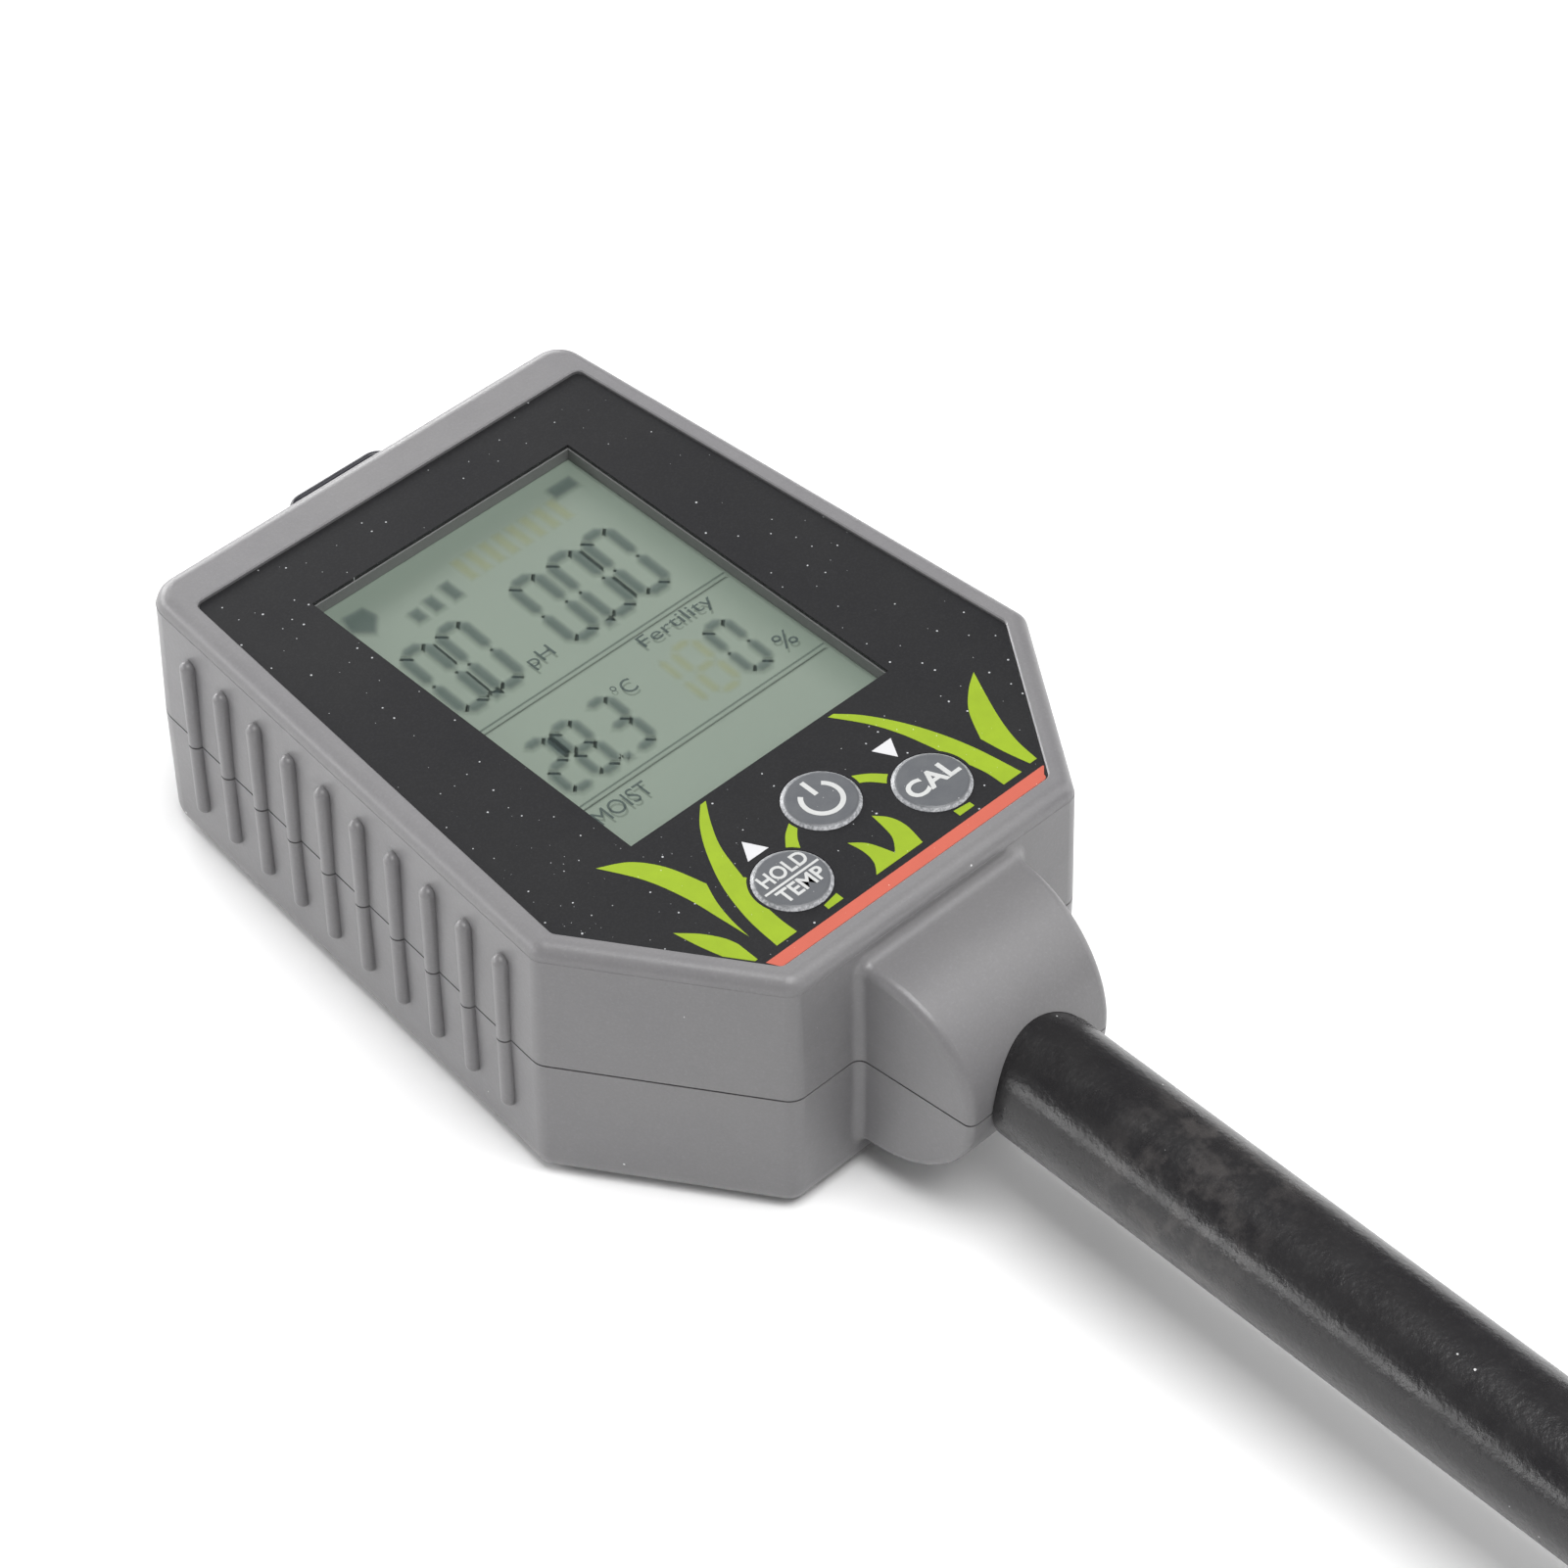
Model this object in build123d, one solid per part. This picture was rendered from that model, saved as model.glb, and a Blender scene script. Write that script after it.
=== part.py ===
from build123d import *
import math
import os

# Soil pH meter: two-shell housing with display and three keys, and a tube probe.
# Frame: +Z out of the display, +Y towards the display's upper edge, probe along -Y.
# Origin: middle of the moulded housing, on its flat rear face. Millimetres.

os.makedirs("parts", exist_ok=True)

# ------------------------------------------------------------------ dimensions
T = 38.0            # housing thickness, rear face to rim
ZS = 19.2           # parting plane of the shells, and the probe's axis
WALL = 2.3          # shell wall
WALL_TOP = 3.1      # wall at the top end
DRAFT = 1.4         # draft of the front shell's outer walls, degrees
DRAFT_REAR = 0.3    # draft of the rear shell's outer walls
R_RIM = 2.0         # rounding of the front rim
R_REAR = 3.2        # rounding of the rear edge

FP_TOP = 52.0       # faceplate outline, Y of its upper edge
FP_MID = -17.1      # Y of its widest corners
FP_BOT = -38.5      # Y of its lower edge
FP_WT = 30.6        # half width at the top
FP_WM = 36.0        # half width at the widest
FP_WB = 21.1        # half width at the bottom
OFF_SIDE = 3.7      # outer wall at the parting plane, outside the faceplate outline
OFF_CHAMFER = 3.45
OFF_TOP = 7.1
OFF_BOT = 3.8

FILM_T = 0.5        # faceplate film
FILM_Z = 37.1       # its underside
RECESS_GAP = 0.15
SKIN_Z = 35.5       # underside of the front skin

WIN_X = 20.5        # window half width
WIN_Y0, WIN_Y1 = -13.2, 42.7
LEDGE = 0.22        # what the window rests on

KEY_R = 4.75
KEY_TOP = 37.97     # flat top; the edge slopes down to the film
KEY_RIM = 37.56
KEY_FLAT = 4.2      # radius of the flat top
KEY_TRAVEL = 0.3
KEYS = {"power": (0.0, -23.0), "cal": (11.15, -29.75), "hold": (-11.15, -29.75)}

RIB_N = 10
RIB_START, RIB_PITCH = 2.7, 6.843   # along the side wall from the faceplate's top corner
RIB_R = 1.0
RIB_Z0, RIB_Z1 = 7.4, 32.6
RIB_OUT = 1.1

NECK_Y = -58.7      # front of the neck
NECK_W0, NECK_W1 = 12.8, 11.3      # half width at the end wall and at the front
NECK_Z0, NECK_Z1 = 5.1, 34.1       # its lower and upper side
NECK_R = 14.2       # side-view rounding
NECK_EDGE = 1.2

TUBE_R = 8.0
TUBE_BORE = 6.8
SPIGOT_R = 7.75     # the part of the tube held in the housing
SPIGOT_END = -58.8  # shoulder, just clear of the neck
TUBE_TOP = -30.0    # inner end
TUBE_END = -300.0   # lower end of the tube
PROBE_END = NECK_Y - 300.0

SCREWS = [(-26.8, 51.2), (26.8, 51.2), (-20.5, -33.0), (20.5, -33.0)]
BOARD_SCREWS = [(-28.0, 42.5), (28.0, 42.5), (-29.5, -10.5), (29.5, -10.5)]
PCB_Z0, PCB_Z1 = 28.4, 30.0

DOOR_W = 16.4       # half width of the battery door's plate
DOOR_Y = 4.0
DOOR_T = 2.0
BAY_X = 13.6        # battery bay, half width
BAY_Y0, BAY_Y1 = 5.5, 56.0
BAY_Z = 20.5
BAY_WALL = 1.5

LOOP_X, LOOP_Y, LOOP_Z, LOOP_R = 7.5, 63.7, 31.5, 0.45


# ------------------------------------------------------------------ helpers
def box(x0, x1, y0, y1, z0, z1):
    return Pos((x0 + x1) / 2, (y0 + y1) / 2, (z0 + z1) / 2) * Box(x1 - x0, y1 - y0, z1 - z0)


def cyl_z(x, y, r, z0, z1):
    return Pos(x, y, (z0 + z1) / 2) * Cylinder(r, z1 - z0)


def cyl_y(x, z, r, y0, y1):
    return Pos(x, (y0 + y1) / 2, z) * Rot(90, 0, 0) * Cylinder(r, y1 - y0)


def cyl_x(y, z, r, x0, x1):
    return Pos((x0 + x1) / 2, y, z) * Rot(0, 90, 0) * Cylinder(r, x1 - x0)


def outline_points(side, top, chamfer, bot):
    # the faceplate's six-sided outline, each side moved outwards by its own distance
    pts = [(-FP_WT, FP_TOP), (FP_WT, FP_TOP), (FP_WM, FP_MID), (FP_WB, FP_BOT), (-FP_WB, FP_BOT), (-FP_WM, FP_MID)]
    offs = [top, side, chamfer, bot, chamfer, side]
    lines = []
    for i, p in enumerate(pts):
        q = pts[(i + 1) % 6]
        dx, dy = q[0] - p[0], q[1] - p[1]
        n = math.hypot(dx, dy)
        dx, dy = dx / n, dy / n
        lines.append((p[0] - dy * offs[i], p[1] + dx * offs[i], dx, dy))
    out = []
    for i in range(6):
        x0, y0, dx0, dy0 = lines[i - 1]
        x1, y1, dx1, dy1 = lines[i]
        det = dx0 * -dy1 + dx1 * dy0
        t = ((x1 - x0) * -dy1 + dx1 * (y1 - y0)) / det
        out.append((x0 + dx0 * t, y0 + dy0 * t))
    return out


def outline_face(side, top, chamfer, bot, r_top=0.0, r_mid=0.0, r_bot=0.0):
    face = make_face(Polyline(*reversed(outline_points(side, top, chamfer, bot)), close=True))
    vs = face.vertices()
    groups = [
        (r_top, [v for v in vs if v.Y > 30]),
        (r_mid, [v for v in vs if -25 < v.Y < 30]),
        (r_bot, [v for v in vs if v.Y < -25]),
    ]
    for r, group in groups:
        if r > 0:
            keep = [(v.X, v.Y) for v in group]
            now = [v for v in face.vertices() if any(abs(v.X - x) + abs(v.Y - y) < 1e-4 for x, y in keep)]
            face = fillet(now, r)
    return face


def prism(face, z0, z1, taper=0.0):
    return extrude(Pos(0, 0, z0) * face, amount=z1 - z0, taper=taper, dir=(0, 0, 1))


def save(part, name):
    solids = part.solids()
    shape = solids[0] if len(solids) == 1 else Compound(solids)
    shape.label = name
    export_step(shape, f"parts/{name}.step")


# ------------------------------------------------------------------ outer shapes
outer_face = outline_face(OFF_SIDE, OFF_TOP, OFF_CHAMFER, OFF_BOT, 4.3, 2.6, 2.6)

# the rim's rounding starts from a faint crease around the walls
CREASE_Z = 36.0
CREASE = 0.04 + (CREASE_Z - 0.5 - ZS) * math.tan(math.radians(DRAFT))
rim_face = outline_face(OFF_SIDE - CREASE, OFF_TOP - CREASE, OFF_CHAMFER - CREASE, OFF_BOT - CREASE, 4.0, 2.4, 2.4)
rim = prism(rim_face, CREASE_Z - 0.5, T, DRAFT)
rim = fillet(rim.edges().filter_by(lambda e: abs(e.center().Z - T) < 1e-3), R_RIM)
front_body = prism(outer_face, ZS, CREASE_Z, DRAFT) + rim

rear_body = extrude(Pos(0, 0, ZS) * outer_face, amount=ZS, taper=DRAFT_REAR, dir=(0, 0, -1))
rear_body = fillet(rear_body.edges().filter_by(lambda e: abs(e.center().Z) < 1e-3), R_REAR)

# neck: a round-nosed block in side view, a little narrower at its front, with softened side edges
side_view = make_face(
    Polyline(
        (-31.0, NECK_Z0), (-31.0, NECK_Z1), (NECK_Y, NECK_Z1), (NECK_Y, NECK_Z0), close=True
    )
)
nose = [v for v in side_view.vertices() if v.X < NECK_Y + 1]
side_view = fillet(nose, NECK_R)
neck_side = extrude(Plane.YZ * side_view, amount=20, both=True)
END_WALL = FP_BOT - OFF_BOT
slope = (NECK_W0 - NECK_W1) / (END_WALL - NECK_Y)
w_in = NECK_W0 + slope * (-31.0 - END_WALL)
neck_plan = prism(
    make_face(Polyline((-w_in, -31.0), (w_in, -31.0), (NECK_W1, NECK_Y - 0.0), (-NECK_W1, NECK_Y - 0.0), close=True)),
    0,
    T,
)
neck = neck_side & neck_plan
neck = fillet(
    neck.edges().filter_by(lambda e: abs(e.center().X) > 8 and e.center().Y < -32 and e.bounding_box().min.Y < -33),
    NECK_EDGE,
)
neck_front = neck & box(-30, 30, -70, -20, ZS, T)
neck_rear = neck & box(-30, 30, -70, -20, 0, ZS)


def join_neck(body, part):
    # the neck grows out of the end wall through a small concave rounding
    whole = body + part
    root = whole.edges().filter_by(
        lambda e: abs(e.center().X) < 14.5
        and END_WALL - 0.25 < e.center().Y < END_WALL + 0.6
        and 1.0 < e.center().Z < T - 2.5
        and e.bounding_box().size.Y < 1.2
        and not (abs(e.center().Z - ZS) < 1e-3)
    )
    try:
        return fillet(root, 1.4)
    except Exception as problem:
        print("neck root left sharp:", problem)
        return whole


front_body = join_neck(front_body, neck_front)
rear_body = join_neck(rear_body, neck_rear)

# grip ribs, ten on each long side, running across the parting plane
dx, dy = FP_WM - FP_WT, FP_MID - FP_TOP
n = math.hypot(dx, dy)
dx, dy = dx / n, dy / n
ribs_front, ribs_rear = [], []
for side in (-1, 1):
    for i in range(RIB_N):
        s = RIB_START + RIB_PITCH * i
        off = OFF_SIDE + RIB_OUT - RIB_R
        x = side * (FP_WT + dx * s + -dy * off)
        y = FP_TOP + dy * s + dx * off
        top = cyl_z(x, y, RIB_R, ZS, RIB_Z1 - RIB_R) + Pos(x, y, RIB_Z1 - RIB_R) * Sphere(RIB_R)
        low = cyl_z(x, y, RIB_R, RIB_Z0 + RIB_R, ZS) + Pos(x, y, RIB_Z0 + RIB_R) * Sphere(RIB_R)
        ribs_front.append(top)
        ribs_rear.append(low)

# ------------------------------------------------------------------ inner outline
inner_face = outline_face(
    OFF_SIDE - WALL, OFF_TOP - WALL_TOP, OFF_CHAMFER - WALL, OFF_BOT - WALL, 2.0, 0.8, 0.8
)

# ------------------------------------------------------------------ front shell
front = front_body
for r in ribs_front:
    front += r
front -= prism(inner_face, ZS - 1, SKIN_Z)
recess = outline_face(RECESS_GAP, RECESS_GAP, RECESS_GAP, RECESS_GAP, 1.1, 1.1, 1.1)
front -= prism(recess, FILM_Z, T + 2)
front -= prism(recess, T - 0.16, T + 0.4, -45)
front -= box(-WIN_X + LEDGE, WIN_X - LEDGE, WIN_Y0 + LEDGE, WIN_Y1 - LEDGE, 30, T)
for x, y in KEYS.values():
    front -= cyl_z(x, y, KEY_R + 0.3, 30, T)
for x, y in SCREWS:
    front += cyl_z(x, y, 3.3, ZS, SKIN_Z + 0.5)
    front -= cyl_z(x, y, 1.5, ZS - 1, 28.5)
for x, y in BOARD_SCREWS:
    front += cyl_z(x, y, 2.4, PCB_Z1, SKIN_Z + 0.5)
    front -= cyl_z(x, y, 0.9, PCB_Z1 - 1, 34.4)
# probe bore with a groove for the seal, and a small lead-in at the neck's mouth
bore = cyl_y(0, ZS, SPIGOT_R + 0.05, NECK_Y - 5, -20)
bore += cyl_y(0, ZS, 9.35, -51.9, -50.2)
bore += cyl_y(0, ZS, 9.8, -48.6, -44.6)
front -= bore
for x in (-LOOP_X, LOOP_X):
    front -= cyl_y(x, LOOP_Z, LOOP_R + 0.05, 50, 66)
save(front, "front_shell")

# ------------------------------------------------------------------ rear shell
rear = rear_body
for r in ribs_rear:
    rear += r
rear -= prism(inner_face, WALL, ZS + 1)
# aligning lip inside the front shell's wall
lip_out = outline_face(
    OFF_SIDE - WALL - 0.12, OFF_TOP - WALL_TOP - 0.12, OFF_CHAMFER - WALL - 0.12, OFF_BOT - WALL - 0.12, 1.9, 0.7, 0.7
)
lip_in = outline_face(
    OFF_SIDE - WALL - 1.1, OFF_TOP - WALL_TOP - 1.1, OFF_CHAMFER - WALL - 1.1, OFF_BOT - WALL - 1.1, 0.9, 0.3, 0.3
)
lip = prism(lip_out, ZS - 2.5, ZS + 1.5) - prism(lip_in, ZS - 3, ZS + 2)
lip_root = prism(inner_face, ZS - 2.5, ZS) - prism(lip_in, ZS - 3, ZS + 2)
rear += (lip + lip_root) & box(-50, 50, -12, 70, 0, T)
# screw posts
for x, y in SCREWS:
    rear += cyl_z(x, y, 3.9, 0.5, ZS)
for x, y in SCREWS:
    rear -= cyl_z(x, y, 3.1, -1, 8.0)
    rear -= cyl_z(x, y, 1.7, -1, ZS + 3)
# cradle behind the collar
cradle = box(-11.5, 11.5, -36.0, -33.8, 1.0, ZS)
rear += cradle
# battery bay
rear += box(-BAY_X - BAY_WALL, BAY_X + BAY_WALL, DOOR_Y, BAY_Y1 + 0.5, 1.0, ZS)
rear += box(-BAY_X - BAY_WALL, BAY_X + BAY_WALL, DOOR_Y, BAY_Y1 - 0.15, ZS - 1, BAY_Z + BAY_WALL)
rear += box(-BAY_X - 5.0, BAY_X + 5.0, DOOR_Y - 1.0, BAY_Y1 + 0.5, 1.0, 4.2)
rear -= box(-BAY_X, BAY_X, BAY_Y0, BAY_Y1, -1, BAY_Z)
rear -= box(-DOOR_W - 0.12, DOOR_W + 0.12, DOOR_Y, 70, -1, DOOR_T + 0.12)
rear -= box(-DOOR_W - 1.02, DOOR_W + 1.02, DOOR_Y, 70, 0.78, 1.82)
for x in (-6.35, 6.35):
    rear -= box(x - 2.8, x + 2.8, BAY_Y0, 6.4, BAY_Z - 1, BAY_Z + 3)
rear -= bore
# shadow gap along the parting plane
ring_in = outline_face(OFF_SIDE - 0.6, OFF_TOP - 0.6, OFF_CHAMFER - 0.6, OFF_BOT - 0.6, 3.6, 2.0, 2.0)
neck_in = make_face(
    Polyline((-w_in + 0.6, -31.0), (w_in - 0.6, -31.0), (NECK_W1 - 0.6, NECK_Y + 0.6), (-NECK_W1 + 0.6, NECK_Y + 0.6), close=True)
)
slab = box(-60, 60, -75, 75, ZS - 0.26, ZS + 0.001)
slab -= prism(ring_in, ZS - 1, ZS + 1)
slab -= prism(neck_in, ZS - 1, ZS + 1)
rear -= slab
save(rear, "rear_shell")

# ------------------------------------------------------------------ faceplate film and window
film = prism(outline_face(0, 0, 0, 0, 1.0, 1.0, 1.0), FILM_Z, FILM_Z + FILM_T)
film -= box(-WIN_X, WIN_X, WIN_Y0, WIN_Y1, FILM_Z - 1, FILM_Z + 2)
for x, y in KEYS.values():
    film -= cyl_z(x, y, KEY_R + 0.08, FILM_Z - 1, FILM_Z + 2)
save(film, "overlay_film")

save(box(-WIN_X + 0.05, WIN_X - 0.05, WIN_Y0 + 0.05, WIN_Y1 - 0.05, FILM_Z, FILM_Z + 0.45), "window_lens")

# ------------------------------------------------------------------ display stack
LCD_X, LCD_Y0, LCD_Y1 = 23.4, -16.0, 45.2
lcd = box(-LCD_X, LCD_X, LCD_Y0, LCD_Y1, 33.2, 34.3) + box(-LCD_X, LCD_X, LCD_Y0 + 2.4, LCD_Y1, 34.3, 35.4)
save(lcd, "lcd_glass")
frame = box(-24.9, 24.9, -17.4, 46.6, PCB_Z1, 35.2) - box(
    -LCD_X - 0.15, LCD_X + 0.15, LCD_Y0 - 0.15, LCD_Y1 + 0.15, PCB_Z1 - 1, 36
)
frame = fillet(frame.edges().filter_by(Axis.Z).filter_by(lambda e: abs(e.center().X) > 24.5), 1.2)
save(frame, "lcd_frame")
light = box(-23.2, 23.2, -10.7, 44.9, PCB_Z1, 33.2)
light = chamfer(light.edges().filter_by(Axis.Z), 0.8)
save(light, "backlight")
strip = box(-21.5, 21.5, -15.3, -12.6, PCB_Z1, 33.2)
save(strip, "elastomer_connector")

# ------------------------------------------------------------------ board and its components
half = [(30.4, 47.4), (34.0, -13.0), (24.5, -27.0), (16.4, -28.5), (16.4, -35.4)]
board_pts = half + [(-x, y) for x, y in reversed(half)]
board = prism(make_face(Polyline(*board_pts, close=True)), PCB_Z0, PCB_Z1)
for x, y in BOARD_SCREWS:
    board -= cyl_z(x, y, 1.15, PCB_Z0 - 1, PCB_Z1 + 1)
save(board, "main_board")


def leads(xs, ys, z, along_x, size=0.45, out=1.0):
    # a row of gull-wing leads along one side of a chip
    parts = []
    for x in xs:
        for y in ys:
            parts.append(box(x - (out if along_x else size / 2), x + (out if along_x else size / 2),
                             y - (size / 2 if along_x else out), y + (size / 2 if along_x else out), z, PCB_Z0))
    return parts


mcu = chamfer(box(-26, -14, 4, 16, 26.8, 28.1).edges().filter_by(Axis.Z), 0.6)
for k in range(8):
    d = 5.2 + k * 1.37
    mcu += box(-27.2, -25.8, 4 + (d - 5.2) + 0.9, 4 + (d - 5.2) + 1.4, 27.6, PCB_Z0)
    mcu += box(-14.2, -12.8, 4 + (d - 5.2) + 0.9, 4 + (d - 5.2) + 1.4, 27.6, PCB_Z0)
save(mcu, "mcu_chip")
amp = box(18, 22, -12, -6, 26.9, 28.2)
for k in range(4):
    amp += box(17, 18.2, -11.4 + k * 1.5, -10.9 + k * 1.5, 27.7, PCB_Z0)
    amp += box(21.8, 23, -11.4 + k * 1.5, -10.9 + k * 1.5, 27.7, PCB_Z0)
save(amp, "amplifier_chip")
can = box(-25.5, -14.5, 21.8, 26.2, 24.9, PCB_Z0)
can = fillet(can.edges().filter_by(Axis.Z), 2.1)
save(can, "crystal")
cap = cyl_z(23, 14, 3.15, 21.4, 27.6) + box(19.8, 26.2, 10.8, 17.2, 27.6, PCB_Z0)
save(cap, "filter_capacitor")

# probe socket under the board and the plug of the probe's cable
PLUG_Z = 24.6
socket = box(-6.2, 6.2, -8.0, 0.0, 21.4, PCB_Z0) - box(-5.2, 5.2, -9.0, -1.4, 22.4, 27.0)
save(socket, "probe_socket")
plug = box(-5.05, 5.05, -12.5, -1.6, 22.55, 26.85)
plug = chamfer(plug.edges().filter_by(Axis.Y), 0.5)
plug -= cyl_y(0, PLUG_Z, 1.62, -13, -9.0)
save(plug, "probe_plug")

# cable: straight up the tube's axis, then an even S up to the plug
CABLE_R = 1.6
RISE = PLUG_Z - ZS
R_BEND = 13.0
ang = math.acos(1 - RISE / (2 * R_BEND))
run = 2 * R_BEND * math.sin(ang)
y_a = -12.6 - run
p0 = (0, -306.0, ZS)
p1 = (0, y_a, ZS)
line1 = Line(p0, p1)
mid = (0, y_a + R_BEND * math.sin(ang), ZS + R_BEND * (1 - math.cos(ang)))
arc1 = TangentArc(p1, mid, tangent=(0, 1, 0))
p2 = (0, -12.6, PLUG_Z)
arc2 = TangentArc(mid, p2, tangent=(0, math.cos(ang), math.sin(ang)))
p3 = (0, -9.0, PLUG_Z)
line2 = Line(p2, p3)
path = line1 + arc1 + arc2 + line2
cable = sweep(Plane(origin=p0, z_dir=(0, 1, 0)) * Circle(CABLE_R), path=path)
length = (y_a + 306.0) + 2 * R_BEND * ang + 3.6
print("probe cable: bend radius", R_BEND, "length", round(length, 1),
      "volume", round(cable.volume, 1), "expected", round(math.pi * CABLE_R**2 * length, 1))
save(cable, "probe_cable")

# ------------------------------------------------------------------ keys and their switches
for name, (x, y) in KEYS.items():
    key = cyl_z(x, y, KEY_R, 34.6, KEY_RIM)
    key += Pos(x, y, (KEY_RIM + KEY_TOP) / 2) * Cone(KEY_R, KEY_FLAT, KEY_TOP - KEY_RIM)
    key = fillet(key.edges().filter_by(lambda e: abs(e.center().Z - KEY_TOP) < 1e-3), 0.5)
    key += cyl_z(x, y, KEY_R + 0.5, 34.5, 35.4)
    key += cyl_z(x, y, 1.8, 33.9, 34.6)
    save(key, f"{name}_button")
    sw = box(x - 3, x + 3, y - 3, y + 3, PCB_Z1, 33.2)
    sw = fillet(sw.edges().filter_by(Axis.Z), 0.5)
    sw -= cyl_z(x, y, 1.75, 32.1, 34)
    save(sw, f"{name}_switch")
    save(cyl_z(x, y, 1.65, 32.6, 33.9), f"{name}_plunger")

# ------------------------------------------------------------------ battery, contacts, door
cell = box(-13.25, 13.25, 9.7, 55.6, 2.4, 19.9)
cell = fillet(cell.edges().filter_by(Axis.Y), 1.8)
cell += cyl_y(-6.35, 11.15, 2.85, 7.3, 9.9)
cell += cyl_y(6.35, 11.15, 4.1, 8.0, 9.9) + cyl_y(6.35, 11.15, 3.6, 7.3, 8.1)
save(cell, "battery")
save(box(-9, 9, 20, 46, 19.9, BAY_Z), "battery_pad")
for name, x in (("pos", -6.35), ("neg", 6.35)):
    leaf = box(x - 2.5, x + 2.5, 5.6, 6.1, 7.0, PCB_Z0)
    leaf += box(x - 2.5, x + 2.5, 5.6, 9.0, PCB_Z0 - 0.5, PCB_Z0)
    leaf += cyl_y(x, 11.15, 1.6, 6.0, 7.3)
    save(leaf, f"battery_contact_{name}")

door = rear_body & box(-DOOR_W, DOOR_W, DOOR_Y + 0.15, 70, -1, DOOR_T)
tongue = box(-DOOR_W - 0.9, DOOR_W + 0.9, DOOR_Y + 0.15, 56.5, 0.9, 1.7)
door += tongue
for k in range(6):
    door -= box(-9, 9, 39.5 + 2.4 * k, 40.7 + 2.4 * k, -1, 0.55)
arrow = make_face(Polyline((-3.2, 33.0), (3.2, 33.0), (0, 37.0), close=True))
door -= prism(arrow, -1, 0.45)
save(door, "battery_door")

# ------------------------------------------------------------------ fasteners
def cross_screw(x, y, r, head_r, z_head, head_t, z_tip):
    # pan head below, shank upwards, cross recess in the head
    s = cyl_z(x, y, r, z_head + head_t, z_tip) + cyl_z(x, y, head_r, z_head, z_head + head_t)
    s = fillet(s.edges().filter_by(lambda e: abs(e.center().Z - z_head) < 1e-3), head_t * 0.35)
    w, l = head_r * 0.14, head_r * 0.62
    s -= box(x - l, x + l, y - w, y + w, z_head - 1, z_head + head_t * 0.55)
    s -= box(x - w, x + w, y - l, y + l, z_head - 1, z_head + head_t * 0.55)
    s = chamfer(s.edges().filter_by(lambda e: abs(e.center().Z - z_tip) < 1e-3), r * 0.4)
    return s


group = [cross_screw(x, y, 1.45, 2.8, 5.8, 2.2, 27.5) for x, y in SCREWS]
export_step(Compound([g.solids()[0] for g in group]), "parts/case_screws.step")
group = [cross_screw(x, y, 0.85, 1.9, 27.0, 1.4, 33.8) for x, y in BOARD_SCREWS]
export_step(Compound([g.solids()[0] for g in group]), "parts/board_screws.step")

# ------------------------------------------------------------------ hanging loop at the top end
pts = [(-LOOP_X, 55.0, LOOP_Z), (-LOOP_X, LOOP_Y, LOOP_Z), (LOOP_X, LOOP_Y, LOOP_Z), (LOOP_X, 55.0, LOOP_Z)]
wire = FilletPolyline(*pts, radius=2.0)
loop = sweep(Plane(origin=pts[0], z_dir=(0, 1, 0)) * Circle(LOOP_R), path=wire)
for x in (-LOOP_X, LOOP_X):
    loop += cyl_y(x, LOOP_Z, 1.2, 54.8, 55.8)
save(loop, "hang_loop")

# ------------------------------------------------------------------ probe
tube = cyl_y(0, ZS, TUBE_R, TUBE_END, SPIGOT_END) + cyl_y(0, ZS, SPIGOT_R, SPIGOT_END, TUBE_TOP)
tube -= cyl_y(0, ZS, TUBE_BORE, TUBE_END - 1, TUBE_TOP + 1)
save(tube, "probe_tube")

collar = cyl_y(0, ZS, 10.9, -39.85, -36.2) - cyl_y(0, ZS, SPIGOT_R + 0.02, -41, -35)
collar = chamfer(collar.edges().filter_by(lambda e: e.geom_type == GeomType.CIRCLE and e.radius > 10), 0.5)
collar -= cyl_z(0, -38.0, 1.55, ZS + 5, 40)
save(collar, "tube_collar")
grub = cyl_z(0, -38.0, 1.5, ZS + SPIGOT_R, ZS + 10.7)
grub -= Pos(0, -38.0, ZS + 9.9) * extrude(RegularPolygon(0.8, 6), amount=2)
save(grub, "collar_screw")
seal = Pos(0, -51.05, ZS) * Rot(90, 0, 0) * Torus(8.52, 0.74)
save(seal, "tube_seal")
bush = cyl_y(0, ZS, TUBE_BORE - 0.03, -44.0, TUBE_TOP) + cyl_y(0, ZS, SPIGOT_R, TUBE_TOP, -28.8)
bush -= cyl_y(0, ZS, CABLE_R + 0.1, -45, -20)
save(bush, "tube_end_bush")

core_r, ins_r = 5.6, 7.6
insulator = cyl_y(0, ZS, TUBE_BORE - 0.03, TUBE_END, -286.0)
insulator += cyl_y(0, ZS, ins_r, -308.0, TUBE_END)
insulator += cyl_y(0, ZS, core_r, -322.0, -308.0)
insulator -= cyl_y(0, ZS, 2.2, -323.0, -285.0)
save(insulator, "probe_insulator")
ring = cyl_y(0, ZS, TUBE_R - 0.2, -322.0, -308.0) - cyl_y(0, ZS, core_r + 0.03, -323, -307)
ring = chamfer(ring.edges().filter_by(lambda e: e.geom_type == GeomType.CIRCLE and e.radius > 7), 0.3)
save(ring, "ring_electrode")
spacer = cyl_y(0, ZS, ins_r, -328.0, -322.0) - cyl_y(0, ZS, 2.25, -329, -321)
save(spacer, "insulator_ring")

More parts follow.
